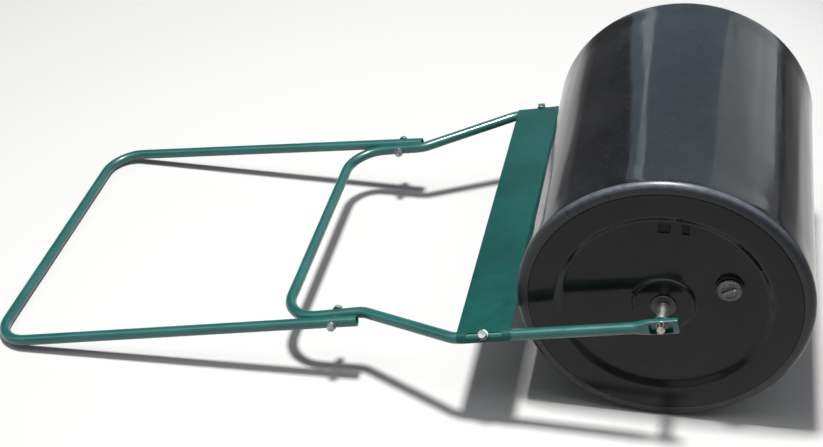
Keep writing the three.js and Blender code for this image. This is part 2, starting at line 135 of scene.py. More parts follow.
NUT_HEIGHT = 6.5
BOLT_END = 3.5
THREAD_PITCH = 1.25
WASHER_RADIUS = 8.5
WASHER_THICKNESS = 1.6
TUBE_SEAT = 0.5

AXLE_HEIGHT = DRUM_RADIUS
PIVOT_HEIGHT = AXLE_HEIGHT - PIVOT_DISTANCE * math.sin(FRAME_TILT)
PIVOT_REACH = PIVOT_DISTANCE * math.cos(FRAME_TILT)
HANDLE_TILT = math.asin((PIVOT_HEIGHT - TUBE_RADIUS) / HANDLE_LENGTH)
BACK_REACH = PIVOT_REACH + HANDLE_LENGTH * math.cos(HANDLE_TILT) + TUBE_RADIUS
AXLE_X = (BACK_REACH - DRUM_RADIUS) / 2


def placed(x, z, tilt):
    spot = Matrix.Translation((x * MM, 0, z * MM))
    return spot @ Matrix.Rotation(-tilt, 4, "Y")


AXLE = placed(AXLE_X, AXLE_HEIGHT, 0)
FRAME = placed(AXLE_X, AXLE_HEIGHT, FRAME_TILT)
HANDLE = placed(AXLE_X - PIVOT_REACH, PIVOT_HEIGHT, HANDLE_TILT)

# ---- Camera ----
EYE = Vector((0.5070, -2.0358, 1.6715))
FORWARD = Vector((-0.1907, 0.7825, -0.5927)).normalized()
RIGHT = Vector((0.9776, 0.2059, -0.0427))

camera_data = bpy.data.cameras.new("camera")
camera_data.sensor_width = 36
camera_data.lens = 62.83
camera = bpy.data.objects.new("camera", camera_data)
bpy.context.scene.collection.objects.link(camera)
right = (RIGHT - FORWARD * RIGHT.dot(FORWARD)).normalized()
up = right.cross(FORWARD)
turn = Matrix((right, up, -FORWARD)).transposed()
camera.matrix_world = Matrix.Translation(EYE) @ turn.to_4x4()
bpy.context.scene.camera = camera
bpy.context.scene.view_settings.view_transform = "Standard"


# ---- Meshes ----
def mesh_object(name, verts, faces, place=None, smooth=35):
    mesh = bpy.data.meshes.new(name)
    mesh.from_pydata([Vector(v) * MM for v in verts], [], faces)
    obj = bpy.data.objects.new(name, mesh)
    bpy.context.scene.collection.objects.link(obj)
    tidy(obj, smooth)
    if place is not None:
        obj.matrix_world = place
    return obj


def tidy(obj, smooth):
    """Faces point out, and edges sharper than the angle stay sharp."""
    bm = bmesh.new()
    bm.from_mesh(obj.data)
    bmesh.ops.remove_doubles(bm, verts=bm.verts, dist=1e-7)
    bmesh.ops.recalc_face_normals(bm, faces=bm.faces)
    for face in bm.faces:
        face.smooth = True
    for edge in bm.edges:
        edge.smooth = len(edge.link_faces) == 2 and edge.calc_face_angle(0) < smooth * DEG
    bm.to_mesh(obj.data)
    bm.free()


def stitch(rings, closed=False, poles=(None, None)):
    """Quads between rings of equal length. A pole closes an end with a fan."""
    verts = [v for ring in rings for v in ring]
    n = len(rings[0])
    faces = []
    pairs = len(rings) if closed else len(rings) - 1
    for k in range(pairs):
        a = k * n
        b = ((k + 1) % len(rings)) * n
        for i in range(n):
            j = (i + 1) % n
            faces.append((a + i, a + j, b + j, b + i))
    for pole, base in zip(poles, (0, (len(rings) - 1) * n)):
        if pole is not None:
            verts.append(pole)
            tip = len(verts) - 1
            faces.extend((tip, base + i, base + (i + 1) % n) for i in range(n))
    return verts, faces


def value(part, angle):
    return part(angle) if callable(part) else part


def turned(profile, n=96, closed=True):
    """A body about Y. Each profile point is (radius, y), either of which may depend on angle."""
    rings = []
    for radius, y in profile:
        ring = []
        for i in range(n):
            angle = 2 * math.pi * i / n
            r = value(radius, angle)
            ring.append((r * math.sin(angle), value(y, angle), r * math.cos(angle)))
        rings.append(ring)
    if closed:
        return stitch(rings, closed=True)
    first = (0, sum(p[1] for p in rings[0]) / n, 0)
    last = (0, sum(p[1] for p in rings[-1]) / n, 0)
    return stitch(rings, poles=(first, last))


def softened(points, radii, steps=5):
    """A closed outline whose corners are rounded by the radii."""
    out = []
    count = len(points)
    for i, point in enumerate(points):
        here = Vector(point)
        radius = radii[i] if isinstance(radii, (list, tuple)) else radii
        before = (Vector(points[i - 1]) - here)
        after = (Vector(points[(i + 1) % count]) - here)
        corner = before.angle(after)
        if radius <= 0 or abs(corner - math.pi) < 0.02:
            out.append(tuple(here))
            continue
        reach = min(radius / math.tan(corner / 2), 0.49 * before.length, 0.49 * after.length)
        used = reach * math.tan(corner / 2)
        start = here + before.normalized() * reach
        end = here + after.normalized() * reach
        bisector = (before.normalized() + after.normalized()).normalized()
        centre = here + bisector * (used / math.sin(corner / 2))
        for k in range(steps + 1):
            t = k / steps
            ray = (start - centre).lerp(end - centre, t)
            out.append(tuple(centre + ray.normalized() * used))
    return out


def mirrored(profile, sign):
    return [(r, sign * y) for r, y in profile]


def cylinder(radius, low, high, n=48, axis="Y", at=(0, 0, 0)):
    ring = [(radius * math.cos(2 * math.pi * i / n), radius * math.sin(2 * math.pi * i / n))
            for i in range(n)]
    order = {"Y": lambda u, v, w: (u, w, v), "Z": lambda u, v, w: (u, v, w)}[axis]
    rings = [[order(u, v, w) for u, v in ring] for w in (low, high)]
    verts, faces = stitch(rings)
    faces.append(tuple(range(n)))
    faces.append(tuple(range(n, 2 * n)))
    return [tuple(Vector(v) + Vector(at)) for v in verts], faces


def prism(outline, low, high):
    """An outline of (x, z) extruded along Y. low and high may scale the outline as (y, scale)."""
    rings = []
    for y, grow in (low, high):
        rings.append([(x * grow, y, z * grow) for x, z in outline])
    verts, faces = stitch(rings)
    n = len(outline)
    faces.append(tuple(range(n)))
    faces.append(tuple(range(n, 2 * n)))
    return verts, faces


def moved(solid, matrix):
    """The matrix works in millimetres."""
    verts, faces = solid
    return [tuple(matrix @ Vector(v)) for v in verts], faces


def combine(obj, solid, operation, smooth=35):
    """Cuts a solid out of obj, or joins it on. The solid is in obj's own millimetres."""
    tool = mesh_object("tool", *solid)
    tool.matrix_world = obj.matrix_world
    bpy.context.view_layer.update()
    modifier = obj.modifiers.new("cut", "BOOLEAN")
    modifier.operation = operation
    modifier.solver = "EXACT"
    modifier.object = tool
    apply_modifiers(obj)
    bpy.data.objects.remove(tool)
    tidy(obj, smooth)


def apply_modifiers(obj):
    bpy.context.view_layer.update()
    graph = bpy.context.evaluated_depsgraph_get()
    made = bpy.data.meshes.new_from_object(obj.evaluated_get(graph))
    old = obj.data
    obj.modifiers.clear()
    obj.data = made
    bpy.data.meshes.remove(old)


def bent_route(corners, bends, steps=14, straight=60):
    """Stations (point, direction) through straight runs and round bends."""
    corners = [Vector(c) for c in corners]
    bends = [0, *bends, 0]
    stations = []
    cursor = corners[0]
    for i in range(1, len(corners)):
        heading = (corners[i] - corners[i - 1]).normalized()
        last = i == len(corners) - 1
        turn = 0 if last else heading.angle(corners[i + 1] - corners[i])
        reach = 0 if last else bends[i] * math.tan(turn / 2)
        end = corners[i] - heading * reach
        runs = max(1, math.ceil((end - cursor).length / straight))
        for k in range(runs):
            stations.append((cursor.lerp(end, k / runs), heading))
        if last:
            stations.append((end, heading))
            break
        ahead = (corners[i + 1] - corners[i]).normalized()
        inward = (ahead - heading * math.cos(turn)).normalized()
        for k in range(steps):
            angle = turn * k / steps
            point = end + heading * (bends[i] * math.sin(angle))
            point += inward * (bends[i] * (1 - math.cos(angle)))
            stations.append((point, heading * math.cos(angle) + inward * math.sin(angle)))
        cursor = corners[i] + ahead * reach
    return stations


def swept(stations, radius, up, n=48, shape=None):
    """Rings of a round section along the stations. shape(point, a, b) may change the section."""
    rings = []
    for point, heading in stations:
        side = heading.cross(up).normalized()
        ring = []
        for i in range(n):
            angle = 2 * math.pi * i / n
            a = math.cos(angle)
            b = math.sin(angle)
            if shape:
                a, b = shape(point, a, b)
            ring.append(tuple(point + (side * a + up * b) * radius))
        rings.append(ring)
    return rings


def piece(obj, body, material, slot, *nodes):
    """Hands the finished piece to the frame: what it is made of, what it rides on, what it is."""
    obj.data.materials.clear()
    obj.data.materials.append(material)
    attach(obj, body)
    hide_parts(*nodes)


# ---- Node helpers ----
class Shader:
    """A material with a Principled shader, and short calls for the nodes that feed it."""

    def __init__(self, name):
        self.material = bpy.data.materials.new(name)
        self.material.use_nodes = True
        self.nodes = self.material.node_tree.nodes
        self.links = self.material.node_tree.links
        self.principled = self.nodes["Principled BSDF"]
        self.coordinates = self.nodes.new("ShaderNodeTexCoord").outputs["Object"]

    def put(self, socket, source):
        if hasattr(source, "links"):
            self.links.new(source, socket)
        else:
            socket.default_value = source

    def set(self, **inputs):
        for name, source in inputs.items():
            self.put(self.principled.inputs[name.replace("_", " ")], source)

    def scaled(self, x, y, z):
        """The object coordinates stretched along each axis."""
        node = self.nodes.new("ShaderNodeVectorMath")
        node.operation = "MULTIPLY"
        self.links.new(self.coordinates, node.inputs[0])
        node.inputs[1].default_value = (x, y, z)
        return node.outputs[0]

    def noise(self, scale, detail=2, roughness=0.5, vector=None, distortion=0):
        node = self.nodes.new("ShaderNodeTexNoise")
        self.links.new(vector or self.coordinates, node.inputs["Vector"])
        node.inputs["Scale"].default_value = scale
        node.inputs["Detail"].default_value = detail
        node.inputs["Roughness"].default_value = roughness
        node.inputs["Distortion"].default_value = distortion
        return node.outputs["Fac"]

    def span(self, source, low, high, to_low=0, to_high=1):
        """A smooth step from one value to another as the source goes from low to high."""
        node = self.nodes.new("ShaderNodeMapRange")
        node.interpolation_type = "SMOOTHSTEP"
        self.links.new(source, node.inputs["Value"])
        for name, number in (("From Min", low), ("From Max", high),
                             ("To Min", to_low), ("To Max", to_high)):
            node.inputs[name].default_value = number
        return node.outputs["Result"]

    def math(self, operation, first, second=0):
        node = self.nodes.new("ShaderNodeMath")
        node.operation = operation
        self.put(node.inputs[0], first)
        self.put(node.inputs[1], second)
        return node.outputs[0]

    def blend(self, factor, first, second):
        node = self.nodes.new("ShaderNodeMix")
        node.data_type = "RGBA"
        self.put(node.inputs["Factor"], factor)
        self.put(node.inputs[6], (*first, 1) if isinstance(first, tuple) else first)
        self.put(node.inputs[7], (*second, 1) if isinstance(second, tuple) else second)
        return node.outputs[2]

    def parts(self, source=None):
        node = self.nodes.new("ShaderNodeSeparateXYZ")
        self.links.new(source or self.coordinates, node.inputs[0])
        return node.outputs

    def distance(self, source, x, y, z):
        node = self.nodes.new("ShaderNodeVectorMath")
        node.operation = "DISTANCE"
        self.links.new(source, node.inputs[0])
        node.inputs[1].default_value = (x, y, z)
        return node.outputs["Value"]

    def bump(self, height, depth, strength=1, normal=None):
        node = self.nodes.new("ShaderNodeBump")
        node.inputs["Strength"].default_value = strength
        node.inputs["Distance"].default_value = depth
        self.links.new(height, node.inputs["Height"])
        if normal is not None:
            self.links.new(normal, node.inputs["Normal"])
        return node.outputs["Normal"]


def facing_up(shader):
    """1 where a surface faces the sky, 0 where it is upright or faces down."""
    normal = shader.nodes.new("ShaderNodeNewGeometry").outputs["Normal"]
    return shader.span(shader.parts(normal)["Z"], 0.2, 0.95)


# ---- Materials ----
def painted_steel(name, shade, wear_at, wear_reach, coat, shine=0.42, chips_above=0.79):
    """Teal powder coat: orange peel, cloudy film, rubbed and chipped round the worn spots."""
    s = Shader(name)
    wear_gain = 0.105
    deep = tuple(c * shade for c in (0.0055, 0.102, 0.090))
    light = tuple(c * shade for c in (0.0095, 0.136, 0.120))
    flake = tuple(c * shade for c in (0.02, 0.17, 0.15))
    cloud = s.noise(9, 3, 0.55)
    colour = s.blend(s.span(cloud, 0.3, 0.7), deep, light)
    speck = s.noise(700, 2, 0.6)
    colour = s.blend(s.span(speck, 0.62, 0.72, 0, 0.2), colour, flake)
    dust = s.math("MULTIPLY", facing_up(s), s.span(s.noise(38, 5, 0.7), 0.55, 0.85, 0, 0.07))
    colour = s.blend(dust, colour, (0.12, 0.12, 0.105))
    rub = s.noise(55, 4, 0.65)
    near = None
    for spot in wear_at:
        reach = s.span(s.distance(s.coordinates, *spot), wear_reach * 0.35, wear_reach, 1, 0)
        near = reach if near is None else s.math("MAXIMUM", near, reach)
    stray = s.span(s.noise(330, 3, 0.6), chips_above, chips_above + 0.01)
    level = s.math("ADD", s.noise(260, 3, 0.6), s.math("MULTIPLY", near, wear_gain))
    chips = s.math("MAXIMUM", stray, s.span(level, 0.745, 0.76))
    bare = s.blend(s.span(s.noise(480, 2), 0.4, 0.6), (0.12, 0.105, 0.095), (0.06, 0.036, 0.022))
    colour = s.blend(chips, colour, bare)
    gloss = s.span(rub, 0.3, 0.75, 0.31, 0.45)
    gloss = s.math("ADD", gloss, s.math("MULTIPLY", dust, 0.9))
    gloss = s.math("ADD", gloss, s.math("MULTIPLY", chips, 0.25))
    peel = s.bump(s.noise(520, 2, 0.5), 0.00009, 0.35)
    runs = s.bump(s.noise(42, 2, 0.5), 0.0006, 0.22, peel)
    chip_edge = s.bump(s.math("SUBTRACT", 1, chips), 0.00012, 0.8, runs)
    s.set(Base_Color=colour, Roughness=gloss, Normal=chip_edge)
    s.set(Metallic=s.math("MULTIPLY", chips, 0.7))
    s.principled.inputs["Specular IOR Level"].default_value = shine
    s.principled.inputs["Coat Weight"].default_value = coat
    s.principled.inputs["Coat Roughness"].default_value = 0.14
    return s.material


def moulded_plastic(name, scuffs_round=True, colour=(0.0052, 0.0054, 0.0060), gloss=(0.07, 0.15),
                    shine=0.34, rim=None, recess=None):
    """Glossy black moulding: faint flow lines, cloudy sheen, hairlines, scuffs and a little dust.

    rim is where a paler rounded edge begins and is full, partly scuffing and partly painted sheen,
    painted paler on top; recess is where a dark pocket does, its floor painted dark as painted
    shade.
    """
    s = Shader(name)
    cloud = s.noise(7, 4, 0.6)
    shade = s.blend(s.span(cloud, 0.35, 0.7), colour, tuple(c * 1.7 for c in colour))
    if scuffs_round:
        streak = s.noise(1, 4, 0.7, s.scaled(3, 260, 3))
        hair = s.noise(1, 1, 0.5, s.scaled(90, 900, 90))
    else:
        streak = s.noise(6, 5, 0.75, s.scaled(30, 30, 30), 1.2)
        hair = s.noise(1, 1, 0.5, s.scaled(900, 90, 240))
    patches = s.span(s.noise(14, 4, 0.65), 0.48, 0.75)
    scuff = s.math("MULTIPLY", s.span(streak, 0.6, 0.72), patches)
    hair = s.math("MULTIPLY", s.span(hair, 0.7, 0.76), s.span(s.noise(22, 2), 0.5, 0.7))
    dust = s.math("MULTIPLY", s.span(s.noise(90, 6, 0.75), 0.52, 0.8), facing_up(s))
    shade = s.blend(s.math("MULTIPLY", scuff, 0.14), shade, (0.08, 0.08, 0.077))
    shade = s.blend(s.math("MULTIPLY", dust, 0.032), shade, (0.25, 0.24, 0.22))
    rough = s.span(s.noise(11, 3, 0.6), 0.3, 0.75, *gloss)
    rough = s.math("ADD", rough, s.math("MULTIPLY", scuff, 0.16))
    rough = s.math("ADD", rough, s.math("MULTIPLY", hair, 0.2))
    rough = s.math("ADD", rough, s.math("MULTIPLY", dust, 0.12))
    if rim:
        # The pale rim band is partly a scuffed edge and partly painted sheen standing in for
        # reflected light; it is painted paler where it faces up, a painted highlight.
        edge = s.span(s.math("ABSOLUTE", s.parts()["Y"]), *rim)
        edge = s.math("MULTIPLY", edge, s.span(s.noise(70, 5, 0.7), 0.25, 0.6, 0.55, 1))
        painted_top_sheen = s.span(facing_up(s), 0, 1, 0.08, 0.42)
        shade = s.blend(s.math("MULTIPLY", edge, painted_top_sheen), shade, (0.12, 0.135, 0.165))
        rough = s.math("ADD", rough, s.math("MULTIPLY", edge, 0.26))
    if recess:
        # Painted shade: the pocket floors are painted near black, and made rougher.
        depth = s.parts()["Y"]
        painted_pocket_shade = s.math("MULTIPLY", s.span(depth, *recess), s.math("LESS_THAN", depth, 0))
        rough = s.math("ADD", rough, s.math("MULTIPLY", painted_pocket_shade, 0.45))
        shade = s.blend(painted_pocket_shade, shade, (0.002, 0.002, 0.002))
    skin = s.bump(s.noise(300, 2, 0.5), 0.00004, 0.12)
    flow = s.bump(s.noise(24, 2, 0.5, s.scaled(1, 0.22, 1)), 0.0011, 0.16, skin)
    s.set(Base_Color=shade, Roughness=rough, Normal=flow)
    s.principled.inputs["Specular IOR Level"].default_value = shine
    return s.material


def matt_plastic(name, colour, gloss=(0.34, 0.5)):
    """Satin moulded nylon with a fine spark texture and paler rubbed places."""
    s = Shader(name)
    pale = tuple(min(1, c * 2.4 + 0.01) for c in colour)
    rub = s.span(s.noise(130, 4, 0.65), 0.5, 0.72)
    shade = s.blend(s.math("MULTIPLY", rub, 0.5), colour, pale)
    rough = s.span(s.noise(60, 3), 0.3, 0.7, *gloss)
    s.set(Base_Color=shade, Roughness=rough, Normal=s.bump(s.noise(2520, 2), 0.00003, 0.5))
    return s.material


def soft_rubber(name):
    """Black rubber with a grey bloom and a fine grain."""
    s = Shader(name)
    bloom = s.span(s.noise(240, 4, 0.7), 0.45, 0.75, 0, 0.3)
    shade = s.blend(bloom, (0.007, 0.007, 0.008), (0.05, 0.05, 0.052))
    grain = s.bump(s.noise(3000, 2), 0.00004, 0.6)
    s.set(Base_Color=shade, Roughness=s.span(bloom, 0, 0.3, 0.7, 0.88), Normal=grain)
    return s.material


def plated_steel(name, bright=(0.30, 0.35, 0.36), dull=(0.21, 0.25, 0.26), tarnish=0.5):
    """Zinc plate: cloudy passivation with a straw tint, fine tool marks and dull spots."""
    s = Shader(name)
    cloud = s.span(s.noise(190, 4, 0.6), 0.35, 0.68)
    shade = s.blend(cloud, dull, bright)
    tint = s.span(s.noise(120, 2, 0.5), 0.42, 0.7, 0, 0.3)
    shade = s.blend(tint, shade, (0.52, 0.47, 0.36))
    spots = s.span(s.noise(620, 4, 0.7), 0.66, 0.74, 0, tarnish)
    shade = s.blend(spots, shade, (0.30, 0.24, 0.19))
    rough = s.math("ADD", s.span(cloud, 0, 1, 0.5, 0.36), s.math("MULTIPLY", spots, 0.3))
    marks = s.bump(s.noise(1, 2, 0.6, s.scaled(700, 2600, 700)), 0.00004, 0.35)
    s.set(Base_Color=shade, Roughness=rough, Metallic=1.0, Normal=marks)
    return s.material


def bare_steel(name):
    """Turned mild steel going brown: a thin bloom of rust over the machined surface."""
    s = Shader(name)
    rust = s.span(s.noise(160, 5, 0.7), 0.4, 0.68)
    clean = s.blend(s.span(s.noise(80, 2), 0.3, 0.7), (0.43, 0.38, 0.35), (0.56, 0.50, 0.46))
    shade = s.blend(s.math("MULTIPLY", rust, 0.75), clean, (0.26, 0.115, 0.062))
    rough = s.span(rust, 0, 1, 0.32, 0.72)
    lathe_marks = s.bump(s.noise(1, 2, 0.5, s.scaled(60, 3800, 60)), 0.00005, 0.5)
    pits = s.bump(s.noise(900, 3, 0.6), 0.00008, 0.4, lathe_marks)
    metal = s.span(rust, 0, 1, 1, 0.35)
    s.set(Base_Color=shade, Roughness=rough, Metallic=metal, Normal=pits)
    return s.material


def local(x, y):
    """A point of an object's own plane, in metres."""
    return (x * MM, y * MM, 0)


frame_wear = [local(x, sign * y) for _, sign in SIDES for x, y in
              ((0, ARM_Y), (-PIVOT_DISTANCE, LOWER_PIVOT_Y))]
plate_wear = [local((PLATE_BACK + PLATE_FRONT) / 2, sign * ARM_Y) for _, sign in SIDES]
handle_wear = [local(0, sign * HANDLE_PIVOT_Y) for _, sign in SIDES]
frame_paint = painted_steel("frame_paint", 0.50, frame_wear, 0.034, 0.5)
plate_paint = painted_steel("plate_paint", 0.29, plate_wear, 0.03, 0.0, 0.22, 0.84)
handle_paint = painted_steel("handle_paint", 0.50, handle_wear, 0.05, 0.5)
# The drum's rim band gets a painted sheen, painted paler on top as a painted highlight.
rim_start = (DRUM_HALF_WIDTH - RIM_FILLET) * MM
barrel_plastic = moulded_plastic("barrel_plastic", rim=(rim_start, rim_start + 0.004))
# The two mark pockets on the near end get floors painted dark as painted shade.
mark_floor = (MARK_DEPTH - PANEL_Y) * MM
end_plastic = moulded_plastic("end_plastic", False, (0.0058, 0.006, 0.0064), (0.09, 0.17), 0.21,
                              recess=(mark_floor - 0.001, mark_floor - 0.0004))
bush_nylon = matt_plastic("bush_nylon", (0.016, 0.016, 0.017))
plug_nylon = matt_plastic("plug_nylon", (0.05, 0.05, 0.056), (0.22, 0.36))
seal_rubber = soft_rubber("seal_rubber")
zinc = plated_steel("zinc")
spacer_zinc = plated_steel("spacer_zinc", (0.42, 0.47, 0.43), (0.29, 0.33, 0.30), 0.6)
pin_steel = plated_steel("pin_steel", (0.46, 0.45, 0.43), (0.30, 0.30, 0.29), 0.8)
steel = bare_steel("bare_steel")


# ---- Drum ----
BARREL_FACETS = 320
BARREL_RINGS = 56
END_FACETS = 256
END_SMOOTH = 28
RIM_STEPS = 12
LIP_EDGE = 0.8
WALL_DRAW = 0.95
WAVE_BROAD = 0.95
WAVE_FINE = 0.3
WAVE_FADE = 40


def wavy(direction, along, scale, stretch):
    """A smooth wave round the drum and along it, from -1 to 1."""
    spot = Vector((direction[0] * scale, along * stretch, direction[1] * scale))
    return noise.noise(spot)


def barrel():
    """The wall is drawn in by fractions of a millimetre in long shallow waves."""
    fillet_radius = DRUM_RADIUS - RIM_FILLET
    fillet_y = DRUM_HALF_WIDTH - RIM_FILLET
    lip = fillet_radius - RIM_LIP
    profile = []

    def arc(y_sign, radius, start, end, steps):
        for k in range(steps + 1):
            angle = (start + (end - start) * k / steps) * DEG
            profile.append((fillet_radius + radius * math.cos(angle),
                            y_sign * fillet_y + radius * math.sin(angle)))

    profile.append((lip, -DRUM_HALF_WIDTH + LIP_EDGE))
    profile.append((lip + LIP_EDGE, -DRUM_HALF_WIDTH))
    arc(-1, RIM_FILLET, -90, 0, RIM_STEPS)
    for k in range(1, BARREL_RINGS):
        y = -fillet_y + 2 * fillet_y * k / BARREL_RINGS
        fade = min(1, (fillet_y - abs(y)) / WAVE_FADE)

        def radius(angle, y=y, fade=fade):
            direction = (math.sin(angle), math.cos(angle))
            broad = wavy(direction, y, 5.5, 0.0034) * WAVE_BROAD
            fine = wavy(direction, y + 900, 15, 0.0048) * WAVE_FINE
            return DRUM_RADIUS - fade * (WALL_DRAW + broad + fine)

        profile.append((radius, y))
    arc(1, RIM_FILLET, 0, 90, RIM_STEPS)
    profile.append((lip + LIP_EDGE, DRUM_HALF_WIDTH))
    profile.append((lip, DRUM_HALF_WIDTH - LIP_EDGE))
    profile.append((lip, DRUM_HALF_WIDTH - DRUM_WALL))
    inner = RIM_FILLET - DRUM_WALL
    arc(1, inner, 90, 0, 4)
    arc(-1, inner, 0, -90, 4)
    profile.append((lip, -DRUM_HALF_WIDTH + DRUM_WALL))
    return turned(profile, BARREL_FACETS)


def end_profile():
    """A flat outer ring, a soft step in to a flat panel, a boss, and the same wall behind."""
    outer = DRUM_RADIUS - RIM_FILLET - RIM_LIP - GAP
    bore = SLEEVE_RADIUS + GAP
    corners = [
        (outer, DRUM_HALF_WIDTH - 0.2),
        (PANEL_RADIUS + 6, DRUM_HALF_WIDTH - 1.2),
        (PANEL_RADIUS - 5, PANEL_Y),
        (BOSS_RADIUS + 1, PANEL_Y),
        (BOSS_RADIUS - 3, BOSS_FACE),
        (bore, BOSS_FACE),
        (bore, PANEL_Y - DRUM_WALL),
        (PANEL_RADIUS - 4, PANEL_Y - DRUM_WALL),
        (PANEL_RADIUS + 7, DRUM_HALF_WIDTH - DRUM_WALL - 1.4),
        (outer, DRUM_HALF_WIDTH - DRUM_WALL),
    ]
    return softened(corners, [0.8, 9, 11, 4, 3.4, 0.8, 0, 8, 6, 0], 12)


def rounded_box(width, height, corner, steps=4):
    """An outline in x and z, centred."""
    x = width / 2
    z = height / 2
    return softened([(-x, -z), (x, -z), (x, z), (-x, z)], corner, steps)


def at(x=0, y=0, z=0):
    """A shift, in whatever unit the caller works in."""
    return Matrix.Translation((x, y, z))


def drum_end(label, sign):
    """The near end has the filler neck, its hole and two shallow pockets. The far end is plain."""
    solid = turned(mirrored(end_profile(), sign), END_FACETS)
    end = mesh_object(f"drum_end_{label}", *solid, AXLE, END_SMOOTH)
    if sign > 0:
        return end
    face = -PANEL_Y
    neck = softened([(0.01, face + NECK_DEPTH), (NECK_RADIUS, face + NECK_DEPTH),
                     (NECK_RADIUS, face - NECK_HEIGHT), (0.01, face - NECK_HEIGHT)],
                    [0, 0, 1.4, 0])
    combine(end, moved(turned(neck), at(NECK_X, 0, NECK_Z)), "UNION", END_SMOOTH)
    outside = face - 3 * NECK_HEIGHT
    inside = face + 2 * NECK_DEPTH
    hole = cylinder(NECK_HOLE, outside, inside, 96, at=(NECK_X, 0, NECK_Z))
    combine(end, hole, "DIFFERENCE", END_SMOOTH)
    for x, width in MARKS:
        outline = rounded_box(width, MARK_SIZE, 2)
        pocket = prism(outline, (face + MARK_DEPTH, 0.96), (face - MARK_DEPTH, 1.04))
        combine(end, moved(pocket, at(x, 0, MARK_HEIGHT)), "DIFFERENCE", END_SMOOTH)
    return end


piece(mesh_object("barrel", *barrel(), AXLE, 40), "drum", barrel_plastic, "drum_plastic",
      "drum_barrel")
for label, sign in SIDES:
    piece(drum_end(label, sign), "drum", end_plastic, "end_plastic", f"drum_end_{label}")

flange_face = BOSS_FACE + GAP + BUSH_FLANGE_THICKNESS
for label, sign in SIDES:
    outline = softened([
        (BUSH_BORE, BOSS_FACE - BUSH_LENGTH),
        (SLEEVE_BORE - GAP, BOSS_FACE - BUSH_LENGTH),
        (SLEEVE_BORE - GAP, BOSS_FACE + GAP),
        (BUSH_FLANGE, BOSS_FACE + GAP),
        (BUSH_FLANGE, flange_face),
        (BUSH_BORE, flange_face),
    ], [0, 1, 0, 0.4, 1.1, 0.4])
    bush = mesh_object(f"bush_{label}", *turned(mirrored(outline, sign)), AXLE)
    piece(bush, "drum", bush_nylon, "nylon", f"hub_bush_{label}")


# ---- Filler plug ----
PLUG_PLACE = AXLE @ at(NECK_X * MM, 0, NECK_Z * MM)
CAP_RIBS = 28
RIB_DEPTH = 0.35
PLUG_PITCH = 4
THREAD_DEPTH = 1.1
THREAD_STEPS = 80


def plug():
    """Ribbed cap with a raised bead and a bar to turn it by, on a threaded spigot."""
    low = -PANEL_Y - NECK_HEIGHT - SEAL_THICKNESS - 2 * GAP
    top = low - CAP_HEIGHT

    def ribbed(angle):
        return CAP_RADIUS - RIB_DEPTH + RIB_DEPTH * math.cos(CAP_RIBS * angle)

    cap = [
        (0.01, top + 1.2), (5, top + 1.2), (10.6, top + 1.0), (11.4, top + 0.2), (12.4, top),
        (14.6, top), (15.6, top + 0.3), (16.6, top + 0.9), (lambda a: ribbed(a) - 0.9, top + 1.7),
        (lambda a: ribbed(a) - 0.2, top + 2.4), (ribbed, top + 3.1), (ribbed, low - 0.5),
        (lambda a: ribbed(a) - 0.5, low), (0.01, low),
    ]
    body = mesh_object("plug", *turned(cap, 8 * CAP_RIBS, closed=False), PLUG_PLACE, 30)
    turns = PLUG_LENGTH / PLUG_PITCH
    thread = []
    for k in range(THREAD_STEPS + 1):
        t = k / THREAD_STEPS

        def radius(angle, t=t):
            phase = (t * turns - angle / (2 * math.pi)) % 1
            ridge = max(0, 1 - abs(phase - 0.5) * 4)
            fade = min(1, (1 - t) * 8)
            return PLUG_RADIUS - THREAD_DEPTH + THREAD_DEPTH * ridge * fade

        thread.append((radius, low - 0.5 + t * PLUG_LENGTH))
    combine(body, turned(thread, closed=False), "UNION", 30)
    outline = rounded_box(GRIP_LENGTH - 3, GRIP_WIDTH, 2.9, 8)
    bar_rings = []
    crown = ((-3, 1.0), (2.6, 0.99), (4.1, 0.95), (4.8, 0.87), (GRIP_HEIGHT, 0.72))
    for rise, grow in crown:
        y = top - rise
        squeeze = (1 - grow) * 4
        bar_rings.append([(u * (1 - squeeze * 0.25), y, w * grow) for u, w in outline])
    verts, faces = stitch(bar_rings)
    n = len(outline)
    faces.append(tuple(range(n)))
    faces.append(tuple(range(4 * n, 5 * n)))
    bar = moved((verts, faces), Matrix.Rotation(-GRIP_TURN, 4, "Y"))
    combine(body, bar, "UNION", 30)
    return body


piece(plug(), "plug", plug_nylon, "nylon", "fill_plug")
seal_low = -PANEL_Y - NECK_HEIGHT - SEAL_THICKNESS - GAP
seal_outline = softened([
    (PLUG_RADIUS + GAP, seal_low), (CAP_RADIUS - 1, seal_low),
    (CAP_RADIUS - 1, seal_low + SEAL_THICKNESS), (PLUG_RADIUS + GAP, seal_low + SEAL_THICKNESS),
], 0.78, 6)
seal = mesh_object("seal", *turned(seal_outline), PLUG_PLACE, 60)
piece(seal, "plug", seal_rubber, "seal_rubber", "plug_seal")


# ---- Axle, spacers, washers and split pins ----
def ring_about_y(outer, inner, low, high, soft, n=72):
    """A washer or tube with its four edges rounded."""
    corners = [(inner, low), (outer, low), (outer, high), (inner, high)]
    return turned(softened(corners, soft, 4), n)


def axle_rod():
    """A chamfered rod, drilled across near each end."""
    end = AXLE_HALF_LENGTH
    slope = AXLE_RADIUS - AXLE_CHAMFER
    profile = [(0.01, -end), (slope, -end), (AXLE_RADIUS, AXLE_CHAMFER - end),
               (AXLE_RADIUS, end - AXLE_CHAMFER), (slope, end), (0.01, end)]
    rod = mesh_object("axle_rod_turned", *turned(profile, 64, closed=False), AXLE)
    for _, sign in SIDES:
        hole = cylinder(PIN_HOLE, -9, 9, 32, "Z", (0, sign * PIN_Y, 0))
        combine(rod, hole, "DIFFERENCE")
    return rod


